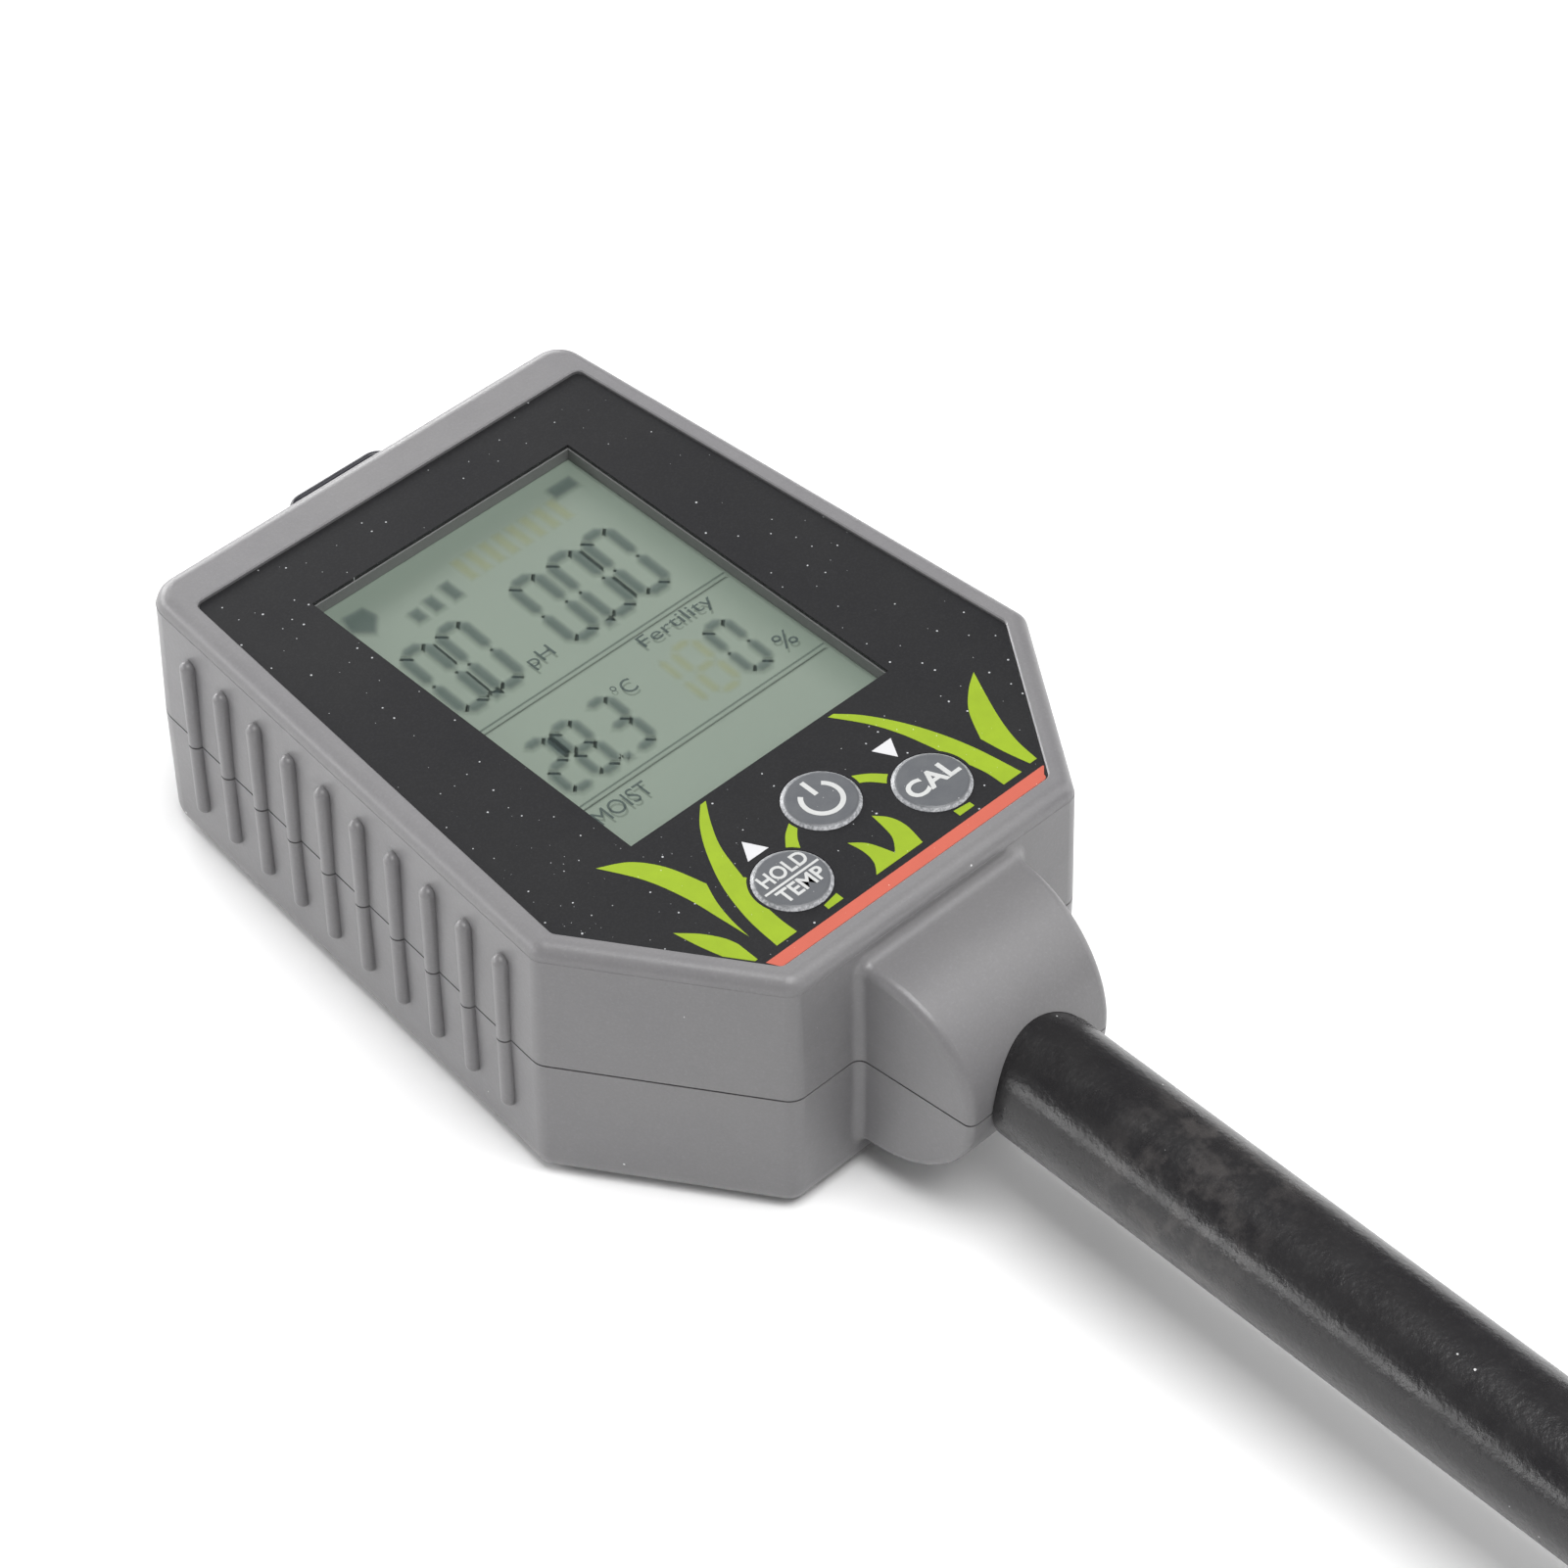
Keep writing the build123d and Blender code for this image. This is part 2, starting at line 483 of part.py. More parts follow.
# tip: short cylinder, long cone with a rounded point, and a stud up through the insulators
tip_profile = Polyline((0, -328.0), (7.8, -328.0), (7.8, -334.0), (1.3, PROBE_END + 1.0), (0, PROBE_END), close=True)
tip = revolve(make_face(tip_profile), Axis.Y, 360)
tip = Pos(0, 0, ZS) * tip
tip = fillet(tip.edges().filter_by(lambda e: e.geom_type == GeomType.CIRCLE and 1.0 < e.radius < 2.0), 1.2)
tip += cyl_y(0, ZS, 2.1, -328.5, -306.0)
tip -= cyl_y(0, ZS, 1.1, -330.0, -305.0)
save(tip, "tip_electrode")
bead = cyl_y(0, ZS, 0.95, -329.05, -324.0) + Pos(0, -329.05, ZS) * Sphere(0.95)
save(bead, "thermistor")
print("done")
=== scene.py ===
import bpy, bmesh, math
from mathutils import Matrix, Vector
from mathutils.geometry import tessellate_polygon


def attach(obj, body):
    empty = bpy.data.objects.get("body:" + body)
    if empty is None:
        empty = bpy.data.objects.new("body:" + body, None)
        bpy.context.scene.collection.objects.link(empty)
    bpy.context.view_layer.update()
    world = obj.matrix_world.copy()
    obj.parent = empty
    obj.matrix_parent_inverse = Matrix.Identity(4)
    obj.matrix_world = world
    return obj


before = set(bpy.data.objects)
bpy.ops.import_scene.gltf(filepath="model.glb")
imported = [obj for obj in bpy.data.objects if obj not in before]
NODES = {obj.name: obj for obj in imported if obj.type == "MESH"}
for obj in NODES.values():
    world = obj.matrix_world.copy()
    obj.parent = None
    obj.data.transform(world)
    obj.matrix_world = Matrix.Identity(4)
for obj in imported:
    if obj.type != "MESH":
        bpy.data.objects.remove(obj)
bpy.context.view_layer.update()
scene = bpy.context.scene
scene.view_settings.view_transform = "Standard"
scene.view_settings.look = "None"

MM = 0.001


# ---------------------------------------------------------------- node helpers
def lin(c):
    c /= 255.0
    return c / 12.92 if c <= 0.04045 else ((c + 0.055) / 1.055) ** 2.4


def srgb(r, g, b):
    return (lin(r), lin(g), lin(b), 1.0)


class Mat:
    """a node material: a Principled shader whose colour, roughness and bump come from procedural nodes"""

    def __init__(self, name, rough=0.5, metallic=0.0, spec=0.5, coat=0.0, coat_rough=0.2):
        self.m = bpy.data.materials.new(name)
        self.m.use_nodes = True
        self.t = self.m.node_tree
        self.t.nodes.clear()
        self.out = self.t.nodes.new("ShaderNodeOutputMaterial")
        self.p = self.t.nodes.new("ShaderNodeBsdfPrincipled")
        self.t.links.new(self.p.outputs[0], self.out.inputs[0])
        self.p.inputs["Roughness"].default_value = rough
        self.p.inputs["Metallic"].default_value = metallic
        self.p.inputs["Specular IOR Level"].default_value = spec
        self.p.inputs["Coat Weight"].default_value = coat
        self.p.inputs["Coat Roughness"].default_value = coat_rough
        self.geo = self.t.nodes.new("ShaderNodeTexCoord")

    def n(self, kind, **kw):
        node = self.t.nodes.new(kind)
        for k, v in kw.items():
            setattr(node, k, v)
        return node

    def link(self, a, b):
        self.t.links.new(a, b)

    def coords(self, scale=(1, 1, 1), loc=(0, 0, 0), rot=(0, 0, 0)):
        mp = self.n("ShaderNodeMapping")
        mp.inputs["Scale"].default_value = scale
        mp.inputs["Location"].default_value = loc
        mp.inputs["Rotation"].default_value = rot
        self.link(self.geo.outputs["Object"], mp.inputs[0])
        return mp.outputs[0]

    def noise(self, scale, detail=3, rough=0.5, co=None, distortion=0.0):
        nz = self.n("ShaderNodeTexNoise")
        nz.inputs["Scale"].default_value = scale
        nz.inputs["Detail"].default_value = detail
        nz.inputs["Roughness"].default_value = rough
        nz.inputs["Distortion"].default_value = distortion
        self.link(co if co is not None else self.geo.outputs["Object"], nz.inputs["Vector"])
        return nz.outputs["Fac"]

    def voronoi(self, scale, co=None, feature="F1", dims="3D"):
        v = self.n("ShaderNodeTexVoronoi", feature=feature, voronoi_dimensions=dims)
        v.inputs["Scale"].default_value = scale
        self.link(co if co is not None else self.geo.outputs["Object"], v.inputs["Vector"])
        return v.outputs

    def ramp(self, fac, stops, mode="LINEAR"):
        r = self.n("ShaderNodeValToRGB")
        r.color_ramp.interpolation = mode
        el = r.color_ramp.elements
        while len(el) > 1:
            el.remove(el[-1])
        el[0].position, el[0].color = stops[0][0], stops[0][1]
        for pos, col in stops[1:]:
            e = el.new(pos)
            e.color = col
        self.link(fac, r.inputs[0])
        return r.outputs[0]

    def grey_ramp(self, fac, stops, mode="LINEAR"):
        return self.ramp(fac, [(p, (v, v, v, 1)) for p, v in stops], mode)

    def math(self, op, a, b=None, c=None, clamp=False):
        node = self.n("ShaderNodeMath", operation=op, use_clamp=clamp)
        for i, v in enumerate((a, b, c)):
            if v is None:
                continue
            if isinstance(v, (int, float)):
                node.inputs[i].default_value = v
            else:
                self.link(v, node.inputs[i])
        return node.outputs[0]

    def band(self, value, a, b):
        """0 below a, 1 above b, smooth between; a may be larger than b"""
        mr = self.n("ShaderNodeMapRange", interpolation_type="SMOOTHSTEP")
        lo, hi, flip = (a, b, False) if a < b else (b, a, True)
        mr.inputs["From Min"].default_value = lo
        mr.inputs["From Max"].default_value = hi
        mr.inputs["To Min"].default_value = 1.0 if flip else 0.0
        mr.inputs["To Max"].default_value = 0.0 if flip else 1.0
        self.link(value, mr.inputs["Value"])
        return mr.outputs[0]

    def mix(self, fac, a, b, blend="MIX"):
        node = self.n("ShaderNodeMix", data_type="RGBA", blend_type=blend)
        for sock, v in ((node.inputs[0], fac), (node.inputs[6], a), (node.inputs[7], b)):
            if isinstance(v, (int, float)):
                sock.default_value = v
            elif isinstance(v, tuple):
                sock.default_value = v
            else:
                self.link(v, sock)
        return node.outputs[2]

    def xyz(self, co=None):
        s = self.n("ShaderNodeSeparateXYZ")
        self.link(co if co is not None else self.geo.outputs["Object"], s.inputs[0])
        return s.outputs

    def bump(self, height, strength=0.2, distance=0.0002, normal=None):
        b = self.n("ShaderNodeBump")
        b.inputs["Strength"].default_value = strength
        b.inputs["Distance"].default_value = distance
        self.link(height, b.inputs["Height"])
        if normal is not None:
            self.link(normal, b.inputs["Normal"])
        return b.outputs[0]

    def attr(self, name):
        a = self.n("ShaderNodeAttribute", attribute_name=name)
        return a.outputs["Fac"]

    def set(self, name, value):
        self.link(value, self.p.inputs[name])

    def specks(self, cell_mm, radius, share, dims="2D", co=None, warp=0.35):
        """white dust specks: about one in each cell, of which only a share are kept"""
        base = co if co is not None else self.geo.outputs["Object"]
        nz = self.n("ShaderNodeTexNoise")
        nz.inputs["Scale"].default_value = 2600.0
        self.link(base, nz.inputs["Vector"])
        off = self.n("ShaderNodeVectorMath", operation="MULTIPLY_ADD")
        self.link(nz.outputs["Color"], off.inputs[0])
        off.inputs[1].default_value = (warp * cell_mm * MM * 0.12,) * 3
        self.link(base, off.inputs[2])
        v = self.n("ShaderNodeTexVoronoi", feature="F1", voronoi_dimensions=dims)
        v.inputs["Scale"].default_value = 1000.0 / cell_mm
        self.link(off.outputs[0], v.inputs["Vector"])
        sep = self.n("ShaderNodeSeparateColor")
        self.link(v.outputs["Color"], sep.inputs[0])
        keep = self.math("LESS_THAN", sep.outputs[0], share)
        size = self.math("MULTIPLY_ADD", sep.outputs[1], radius * 0.9, radius * 0.35)
        near = self.math("SUBTRACT", size, v.outputs["Distance"])
        near = self.math("MULTIPLY", near, 3.0 / radius, clamp=True)
        return self.math("MULTIPLY", near, keep, clamp=True)


def assign(node, mat):
    me = NODES[node].data
    me.materials.clear()
    me.materials.append(mat.m if isinstance(mat, Mat) else mat)


# ---------------------------------------------------------------- materials
def plastic_grey(name="housing_plastic_look"):
    """satin moulded plastic: fine grain, faint flow clouds, a few dust specks and scuffs"""
    m = Mat(name, rough=0.36, spec=0.45)
    big = m.noise(42, 3, 0.55)
    mid = m.noise(420, 4, 0.6)
    fine = m.noise(3000, 2, 0.6)
    col = m.ramp(big, [(0.30, srgb(116, 115, 117)), (0.70, srgb(120, 119, 120))])
    col = m.mix(m.grey_ramp(mid, [(0.40, 0.0), (0.80, 0.35)]), col, srgb(124, 123, 124))
    col = m.mix(m.grey_ramp(fine, [(0.30, 0.16), (0.50, 0.0)]), col, srgb(106, 105, 106))
    col = m.mix(m.grey_ramp(fine, [(0.55, 0.0), (0.80, 0.18)]), col, srgb(150, 150, 152))
    dust = m.specks(5.0, 0.028, 0.35, "3D")
    col = m.mix(dust, col, srgb(226, 226, 226))
    m.set("Base Color", col)
    m.set("Roughness", m.grey_ramp(m.noise(120, 4, 0.6), [(0.3, 0.31), (0.7, 0.41)]))
    n1 = m.bump(m.noise(1500, 3, 0.55), 0.22, 0.00010)
    m.set("Normal", m.bump(m.noise(5200, 2, 0.5), 0.14, 0.00005, n1))
    return m


def flat_look(name, col, rough=0.5, metallic=0.0, vary=0.08, scale=300, bump=0.05, bscale=1500, spec=0.5):
    m = Mat(name, rough=rough, metallic=metallic, spec=spec)
    a = tuple(min(1, c * (1 - vary)) for c in col[:3]) + (1,)
    b = tuple(min(1, c * (1 + vary)) for c in col[:3]) + (1,)
    m.set("Base Color", m.ramp(m.noise(scale, 4), [(0.3, a), (0.7, b)]))
    m.set("Roughness", m.grey_ramp(m.noise(scale * 0.7, 3), [(0.3, max(0.03, rough - 0.05)), (0.7, rough + 0.06)]))
    m.set("Normal", m.bump(m.noise(bscale, 2), bump, 0.0001))
    return m


def film_look():
    """matte printed film with haze clouds and dust"""
    m = Mat("faceplate_black_look", rough=0.62, spec=0.10)
    col = m.ramp(m.noise(60, 4, 0.6), [(0.3, srgb(33, 33, 35)), (0.7, srgb(37, 37, 38))])
    fine = m.noise(3600, 2, 0.6)
    col = m.mix(m.grey_ramp(fine, [(0.45, 0.0), (0.8, 0.25)]), col, srgb(56, 56, 58))
    dust = m.specks(2.4, 0.050, 0.34)
    dust2 = m.specks(0.9, 0.050, 0.10)
    x, y, z = m.xyz()
    zone = m.math("MULTIPLY", m.band(y, 0.012, -0.012), m.band(x, 0.002, -0.020))
    dust2 = m.math("MULTIPLY", dust2, zone)
    col = m.mix(m.math("MAXIMUM", dust, dust2), col, srgb(176, 178, 180))
    m.set("Base Color", col)
    m.set("Roughness", m.grey_ramp(m.noise(150, 5, 0.6), [(0.3, 0.48), (0.7, 0.62)]))
    m.set("Normal", m.bump(m.noise(3000, 2), 0.10, 0.00005))
    return m


def key_look():
    """embossed membrane cap: flat grey top, thin lighter rim, and a mottled painted highlight on the slope"""
    m = Mat("key_grey_look", rough=0.38, spec=0.5)
    fine = m.noise(2600, 3, 0.65)
    col = m.ramp(m.noise(500, 3), [(0.3, srgb(86, 88, 92)), (0.7, srgb(92, 94, 97))])
    x, y, z = m.xyz()
    # the slope is painted lighter: a steady part for the thin lighter rim, and a mottled painted highlight where
    # the embossed edge catches the light
    slope = m.band(z, 0.03793, 0.03776)
    painted_glint = m.grey_ramp(fine, [(0.42, 0.0), (0.62, 1.0)])
    col = m.mix(m.math("MULTIPLY", slope, m.math("MULTIPLY_ADD", painted_glint, 0.7, 0.3)), col, srgb(168, 169, 172))
    col = m.mix(m.math("MULTIPLY", m.specks(1.6, 0.05, 0.25), 0.8), col, srgb(190, 190, 192))
    m.set("Base Color", col)
    m.set("Normal", m.bump(m.noise(1900, 3, 0.6), 0.22, 0.0001))
    return m


def tube_look():
    """satin powder coat: orange peel, speckled sheen, one rubbed patch"""
    m = Mat("black_coat_look", rough=0.36, spec=0.5)
    fine = m.noise(1700, 3, 0.6)
    x, y, z = m.xyz()
    patch = m.math("MULTIPLY", m.band(y, -0.100, -0.090), m.band(y, -0.070, -0.080))
    patch = m.math("MULTIPLY", patch, m.grey_ramp(m.noise(260, 4, 0.65), [(0.45, 0.0), (0.62, 1.0)]))
    col = m.ramp(m.noise(120, 4), [(0.3, srgb(31, 30, 32)), (0.7, srgb(37, 36, 37))])
    col = m.mix(m.grey_ramp(fine, [(0.55, 0.0), (0.75, 0.30)]), col, srgb(62, 60, 60))
    col = m.mix(m.math("MULTIPLY", patch, 0.5), col, srgb(76, 73, 72))
    col = m.mix(m.specks(3.0, 0.05, 0.5, "3D"), col, srgb(200, 200, 200))
    m.set("Base Color", col)
    m.set("Roughness", m.grey_ramp(m.noise(240, 4, 0.6), [(0.3, 0.23), (0.7, 0.33)]))
    n1 = m.bump(m.noise(1300, 2, 0.5), 0.45, 0.00012)
    m.set("Normal", m.bump(m.noise(4200, 2, 0.5), 0.20, 0.00006, n1))
    return m


def lcd_look():
    """grey-green reflective display, with painted shade under the far walls of its recess"""
    m = Mat("display_look", rough=0.34, spec=0.35)
    x, y, z = m.xyz()
    col = m.ramp(m.noise(26, 2, 0.4), [(0.3, srgb(134, 143, 135)), (0.7, srgb(137, 146, 137))])
    # painted shade: the display colour darkens towards the far and right walls of the recess, where their shadow
    # falls
    far = m.band(y, 0.0352, 0.0412)
    right = m.band(x, 0.0138, 0.0192)
    shade = m.math("MAXIMUM", far, m.math("MULTIPLY", right, 0.85))
    col = m.mix(m.math("MULTIPLY", shade, 0.32), col, srgb(92, 108, 98))
    grain = m.noise(2400, 2, 0.6)
    col = m.mix(m.grey_ramp(grain, [(0.35, 0.06), (0.6, 0.0)]), col, srgb(120, 128, 118))
    m.set("Base Color", col)
    m.set("Normal", m.bump(m.noise(600, 2), 0.03, 0.00005))
    return m


def metal_look(name, col, rough=0.28, lines=None, bump=0.08):
    """turned or plated metal; lines is the direction in which fine tool marks are stretched"""
    m = Mat(name, rough=rough, metallic=1.0)
    sc = (1, 1, 1) if lines is None else lines
    nz = m.noise(900, 3, 0.6, m.coords(scale=sc))
    a = tuple(c * 0.86 for c in col[:3]) + (1,)
    m.set("Base Color", m.ramp(nz, [(0.3, a), (0.7, col)]))
    m.set("Roughness", m.grey_ramp(nz, [(0.3, max(0.05, rough - 0.07)), (0.7, rough + 0.09)]))
    m.set("Normal", m.bump(nz, bump, 0.00006))
    return m


def board_look():
    """solder mask over a pattern of copper tracks"""
    m = Mat("board_green_look", rough=0.32, spec=0.5)
    w = m.n("ShaderNodeTexBrick")
    w.inputs["Scale"].default_value = 260.0
    w.inputs["Mortar Size"].default_value = 0.03
    w.inputs["Color1"].default_value = srgb(22, 88, 46)
    w.inputs["Color2"].default_value = srgb(24, 94, 50)
    w.inputs["Mortar"].default_value = srgb(58, 128, 70)
    m.link(m.geo.outputs["Object"], w.inputs["Vector"])
    col = m.mix(m.grey_ramp(m.noise(700, 3), [(0.4, 0.0), (0.7, 0.3)]), w.outputs["Color"], srgb(18, 74, 40))
    m.set("Base Color", col)
    m.set("Normal", m.bump(w.outputs["Fac"], 0.1, 0.00004))
    return m


def cell_look():
    """dark battery jacket with one plain lighter band"""
    m = Mat("cell_jacket_look", rough=0.3, metallic=0.4)
    x, y, z = m.xyz()
    band = m.math("MULTIPLY", m.band(y, 0.0195, 0.0197), m.band(y, 0.0262, 0.0260))
    col = m.mix(band, srgb(46, 48, 54), srgb(176, 150, 88))
    col = m.mix(m.grey_ramp(m.noise(500, 4), [(0.4, 0.0), (0.7, 0.2)]), col, srgb(80, 82, 88))
    m.set("Base Color", col)
    m.set("Normal", m.bump(m.noise(400, 2), 0.05, 0.0001))
    return m


def ink(name, col, rough=0.5, speck=True, edge=None, vary=0.05):
    m = Mat(name, rough=rough, spec=0.3)
    a = tuple(c * (1 - vary) for c in col[:3]) + (1,)
    b = tuple(min(1, c * (1 + vary)) for c in col[:3]) + (1,)
    c = m.ramp(m.noise(260, 4, 0.6), [(0.3, a), (0.7, b)])
    if speck:
        c = m.mix(m.math("MULTIPLY", m.specks(1.3, 0.045, 0.22), 0.6), c, srgb(235, 238, 215))
    m.set("Base Color", c)
    m.set("Normal", m.bump(m.noise(2600, 2), 0.10, 0.00005))
    return m


def lcd_ink(name, col, alpha):
    """a liquid-crystal mark: dark, see-through and soft at its edges"""
    m = Mat(name, rough=0.6, spec=0.1)
    c = m.ramp(m.noise(500, 2), [(0.3, tuple(v * 0.94 for v in col[:3]) + (1,)), (0.7, col)])
    m.set("Base Color", c)
    m.set("Alpha", m.math("MULTIPLY", m.attr("mask"), alpha))
    m.m.surface_render_method = "BLENDED"
    return m


housing = plastic_grey()
film = film_look()
key_grey = key_look()
tube_black = tube_look()
white_pl = flat_look("white_plastic_look", srgb(205, 204, 198), rough=0.5)
black_pl = flat_look("black_plastic_look", srgb(32, 32, 33), rough=0.5, bump=0.12)
milky = flat_look("light_guide_look", srgb(226, 228, 226), rough=0.3)
silicone = flat_look("silicone_look", srgb(150, 152, 158), rough=0.6, vary=0.2, scale=1800)
board_green = board_look()
chip = flat_look("chip_black_look", srgb(28, 28, 30), rough=0.6, bump=0.3, bscale=3500)
tin = metal_look("tin_can_look", srgb(205, 203, 200), 0.3)
contact = metal_look("contact_metal_look", srgb(206, 202, 190), 0.3, (1, 1, 14))
cell = cell_look()
foam = flat_look("foam_look", srgb(52, 52, 55), rough=0.95, bump=0.6, bscale=1600, spec=0.1)
screw = metal_look("screw_steel_look", srgb(176, 178, 182), 0.32)
wire = flat_look("loop_wire_look", srgb(34, 34, 42), rough=0.4, bump=0.05)
rubber = flat_look("seal_rubber_look", srgb(26, 26, 27), rough=0.7)
jacket = flat_look("cable_jacket_look", srgb(44, 45, 52), rough=0.5)
electrode = metal_look("electrode_steel_look", srgb(200, 198, 194), 0.24, (0.06, 5.0, 0.06), 0.12)
collar = metal_look("collar_steel_look", srgb(170, 170, 172), 0.34, (0.06, 5.0, 0.06))
insul = flat_look("insulator_look", srgb(30, 30, 31), rough=0.42, bump=0.1)
lcd_base = lcd_look()

glass = bpy.data.materials.new("window_glass_look")
glass.use_nodes = True
gt = glass.node_tree
gt.nodes.clear()
g_out = gt.nodes.new("ShaderNodeOutputMaterial")
g_mix = gt.nodes.new("ShaderNodeMixShader")
g_clear = gt.nodes.new("ShaderNodeBsdfTransparent")
g_clear.inputs[0].default_value = (0.975, 0.985, 0.975, 1)
g_gloss = gt.nodes.new("ShaderNodeBsdfGlossy")
g_gloss.inputs["Roughness"].default_value = 0.06
g_lw = gt.nodes.new("ShaderNodeLayerWeight")
g_lw.inputs["Blend"].default_value = 0.5
g_pow = gt.nodes.new("ShaderNodeMath")
g_pow.operation = "POWER"
g_pow.inputs[1].default_value = 5.0
g_sch = gt.nodes.new("ShaderNodeMath")
g_sch.operation = "MULTIPLY_ADD"
g_sch.inputs[1].default_value = 0.97
g_sch.inputs[2].default_value = 0.03
gt.links.new(g_lw.outputs["Facing"], g_pow.inputs[0])
gt.links.new(g_pow.outputs[0], g_sch.inputs[0])
g_nz = gt.nodes.new("ShaderNodeTexNoise")
g_nz.inputs["Scale"].default_value = 700.0
g_bump = gt.nodes.new("ShaderNodeBump")
g_bump.inputs["Strength"].default_value = 0.02
g_bump.inputs["Distance"].default_value = 0.00005
g_tc = gt.nodes.new("ShaderNodeTexCoord")
gt.links.new(g_tc.outputs["Object"], g_nz.inputs["Vector"])
gt.links.new(g_nz.outputs["Fac"], g_bump.inputs["Height"])
gt.links.new(g_bump.outputs[0], g_gloss.inputs["Normal"])
gt.links.new(g_sch.outputs[0], g_mix.inputs[0])
gt.links.new(g_clear.outputs[0], g_mix.inputs[1])
gt.links.new(g_gloss.outputs[0], g_mix.inputs[2])
gt.links.new(g_mix.outputs[0], g_out.inputs[0])

for names, mat in (
    (("front_shell", "rear_shell", "battery_door"), housing),
    (("overlay_film",), film),
    (("power_button", "cal_button", "hold_button"), key_grey),
    (("probe_tube",), tube_black),
    (("hang_loop",), wire),
    (("lcd_glass",), lcd_base),
    (("window_lens",), glass),
    (("lcd_frame", "probe_socket", "probe_plug", "power_plunger", "cal_plunger", "hold_plunger"), white_pl),
    (("backlight",), milky),
    (("elastomer_connector",), silicone),
    (("main_board",), board_green),
    (("mcu_chip", "amplifier_chip"), chip),
    (("crystal", "filter_capacitor"), tin),
    (("power_switch", "cal_switch", "hold_switch", "tube_end_bush", "thermistor"), black_pl),
    (("battery_contact_pos", "battery_contact_neg"), contact),
    (("battery",), cell),
    (("battery_pad",), foam),
    (("case_screws", "board_screws", "collar_screw"), screw),
    (("tube_collar",), collar),
    (("tube_seal",), rubber),
    (("probe_cable",), jacket),
    (("probe_insulator", "insulator_ring"), insul),
    (("ring_electrode", "tip_electrode"), electrode),
):
    for nm in names:
        assign(nm, mat)


# ---------------------------------------------------------------- printed marks
def to_object(name, me, mat, body):
    me.materials.clear()
    me.materials.append(mat.m if isinstance(mat, Mat) else mat)
    ob = bpy.data.objects.new(name, me)
    scene.collection.objects.link(ob)
    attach(ob, body)
    return ob


def slab_mesh(name, outlines, z0, z1):
    """closed thin slabs from outlines; each outline is a list of (x, y) in millimetres"""
    verts, faces = [], []
    for pts in outlines:
        area = sum(a[0] * b[1] - b[0] * a[1] for a, b in zip(pts, pts[1:] + pts[:1]))
        if area < 0:
            pts = list(reversed(pts))
        base = len(verts)
        n = len(pts)
        verts += [(x * MM, y * MM, z1 * MM) for x, y in pts]
        verts += [(x * MM, y * MM, z0 * MM) for x, y in pts]
        for tri in tessellate_polygon([[Vector((x, y, 0)) for x, y in pts]]):
            a, b, c = (Vector((*pts[i], 0)) for i in tri)
            t = list(tri)
            if (b - a).cross(c - a).z < 0:
                t.reverse()
            faces.append([base + i for i in t])
            faces.append([base + n + i for i in reversed(t)])
        for i in range(n):
            j = (i + 1) % n
            faces.append([base + i, base + n + i, base + n + j, base + j])
    me = bpy.data.meshes.new(name)
    me.from_pydata(verts, [], faces)
    me.validate()
    me.update()
    return me


def spline(points, n=7, closed=False):
    """Catmull-Rom curve through the points"""
    out = []
    m = len(points)
    for i in range(m - 1):
        p0 = points[max(0, i - 1)]
        p1, p2 = points[i], points[i + 1]
        p3 = points[min(m - 1, i + 2)]
        for k in range(n):
            t = k / n
            out.append(tuple(
                0.5 * (2 * p1[a] + (p2[a] - p0[a]) * t + (2 * p0[a] - 5 * p1[a] + 4 * p2[a] - p3[a]) * t * t
                       + (3 * p1[a] - p0[a] - 3 * p2[a] + p3[a]) * t ** 3)
                for a in (0, 1)))
    out.append(tuple(points[-1]))
    return out


def leaf(*runs):
    """an outline made of smooth runs that meet at corners"""
    out = []
    for run in runs:
        pts = spline(list(run)) if len(run) > 2 else list(run)
        for p in pts:
            if not out or math.hypot(p[0] - out[-1][0], p[1] - out[-1][1]) > 0.02:
                out.append(p)
    if math.hypot(out[0][0] - out[-1][0], out[0][1] - out[-1][1]) < 0.02:
        out.pop()
    return out


def arc(cx, cy, r, a0, a1, n=24):
    return [(cx + r * math.cos(math.radians(a0 + (a1 - a0) * k / n)), cy + r * math.sin(math.radians(a0 + (a1 - a0) * k / n)))
            for k in range(n + 1)]


FILM_TOP = 37.6
KEY_TOP = 37.97
KEYS = {"power": (0.0, -23.0), "cal": (11.15, -29.75), "hold": (-11.15, -29.75)}
EDGE_Y = -35.75     # where the blades' feet end, above the stripe

